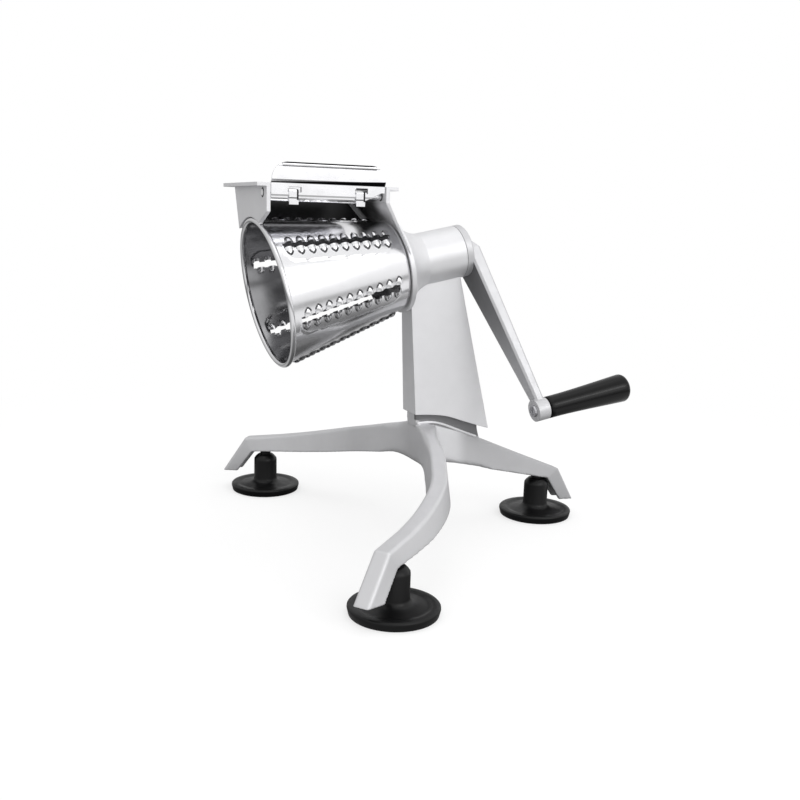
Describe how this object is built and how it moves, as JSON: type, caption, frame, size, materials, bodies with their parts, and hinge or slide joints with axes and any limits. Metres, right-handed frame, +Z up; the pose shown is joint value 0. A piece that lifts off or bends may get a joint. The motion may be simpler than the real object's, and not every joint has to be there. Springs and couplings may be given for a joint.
{
  "type": "rotary cabbage shredder",
  "caption": "Hand cranked rotary drum shredder: cone drum under an open hopper with a swinging food guard, on a leaning column and a three-legged base with suction cup feet.",
  "frame": {"origin": "middle of the overall box in plan, on the surface the suction cups stand on", "axes": "+Z up; +X towards the crank side, along the drum shaft seen from above; +Y to the back, away from the open front of the hopper"},
  "size_m": [0.3226, 0.3854, 0.3102],
  "materials": {
    "cast_aluminium": "bead blasted satin",
    "stainless": "polished",
    "steel_hardware": "bright zinc plated",
    "bronze": "turned",
    "cup_rubber": "satin",
    "grip_plastic": "gloss",
    "grommet_plastic": "matt"
  },
  "bodies": {
    "machine": {"base_tripod": "cast_aluminium", "body_casting": "cast_aluminium", "clamp_screw": "steel_hardware", "foot_stud_front": "steel_hardware", "foot_stud_back": "steel_hardware", "foot_stud_crank": "steel_hardware", "suction_cup_front": "cup_rubber", "suction_cup_back": "cup_rubber", "suction_cup_crank": "cup_rubber", "front_bush": "bronze", "rear_bush": "bronze", "hinge_rod": "stainless", "rod_grommet_mouth": "grommet_plastic", "rod_grommet_crank": "grommet_plastic"},
    "rotor": {"drive_shaft": "steel_hardware", "thrust_washer": "steel_hardware", "drum_cone": "stainless", "drum_base": "stainless", "drum_socket": "steel_hardware", "drum_screw": "steel_hardware", "crank_arm": "cast_aluminium", "crank_screw": "steel_hardware", "grip_spindle": "steel_hardware", "grip_washer": "steel_hardware", "spindle_nut": "steel_hardware"},
    "grip": {"handle_grip": "grip_plastic"},
    "guard": {"food_guard": "stainless", "guard_hook_mouth": "stainless", "guard_hook_crank": "stainless"}
  },
  "joints": [
    {"name": "crank_spin", "type": "hinge", "parent": "machine", "child": "rotor", "pos_m": [-0.01277, 0, 0.2364], "axis": [0.9792, 0, 0.2028], "continuous": true},
    {"name": "grip_spin", "type": "hinge", "parent": "rotor", "child": "grip", "pos_m": [0.08036, -0.06996, 0.11903], "axis": [0.9839, -0.0129, 0.1785], "continuous": true},
    {"name": "guard_hinge", "type": "hinge", "parent": "machine", "child": "guard", "pos_m": [-0.10477, -0.0337, 0.2878], "axis": [1, 0, 0], "range_deg": [0, 100]}
  ]
}
